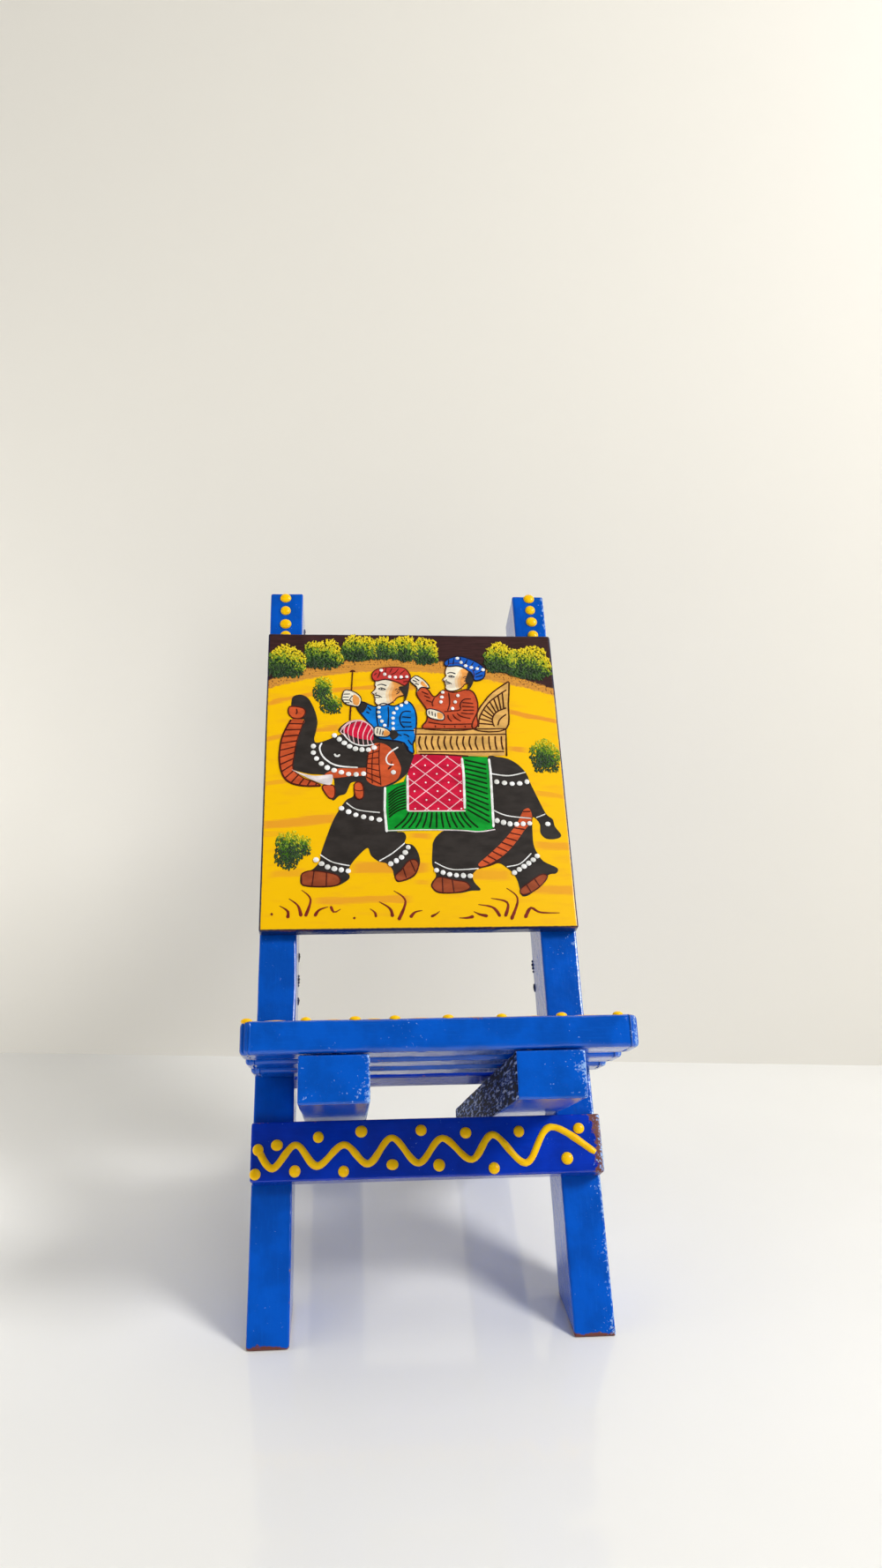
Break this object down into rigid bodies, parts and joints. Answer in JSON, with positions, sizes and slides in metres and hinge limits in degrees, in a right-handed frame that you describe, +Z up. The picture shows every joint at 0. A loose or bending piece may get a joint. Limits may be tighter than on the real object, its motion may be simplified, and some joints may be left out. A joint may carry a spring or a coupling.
{
  "type": "phone stand",
  "caption": "Chair-shaped wooden phone stand: leaning back frame with a painted picture panel, and a slatted seat frame whose rails slide through it as rear legs.",
  "frame": {"origin": "centre of the footprint, on the table that the stand rests on", "axes": "+Z up, -Y towards the user (the picture's side), +X to the user's right"},
  "size_m": [0.099, 0.157, 0.2014],
  "materials": {
    "blue_enamel": "glossy brushed enamel on wood",
    "painted_board": "varnished paint on thin board",
    "nail_steel": "plain bright nail",
    "relief_paint": "raised yellow cone-squeezed paint",
    "picture_paint": "brushed folk-painting colours under varnish"
  },
  "bodies": {
    "back_frame": {"left_post": "blue_enamel", "right_post": "blue_enamel", "picture_panel": "painted_board", "front_crossbar": "blue_enamel", "rear_crossbar": "blue_enamel", "bar_nail_left_lower": "nail_steel", "bar_nail_left_upper": "nail_steel", "bar_nail_right_lower": "nail_steel", "bar_nail_right_upper": "nail_steel", "panel_nail_left_lower": "nail_steel", "panel_nail_left_upper": "nail_steel", "panel_nail_right_lower": "nail_steel", "panel_nail_right_upper": "nail_steel", "rear_bar_nail_left": "nail_steel", "rear_bar_nail_right": "nail_steel"},
    "seat_frame": {"left_seat_rail": "blue_enamel", "right_seat_rail": "blue_enamel", "seat_slat_front": "blue_enamel", "seat_slat_middle": "blue_enamel", "seat_slat_rear": "blue_enamel", "slat_nail_front_left": "nail_steel", "slat_nail_front_right": "nail_steel", "slat_nail_middle_left": "nail_steel", "slat_nail_middle_right": "nail_steel", "slat_nail_rear_left": "nail_steel", "slat_nail_rear_right": "nail_steel"}
  },
  "joints": [
    {"name": "seat_slide", "type": "slide", "parent": "back_frame", "child": "seat_frame", "axis": [0, -0.9041, 0.4274], "range_m": [0, 0.12]}
  ]
}
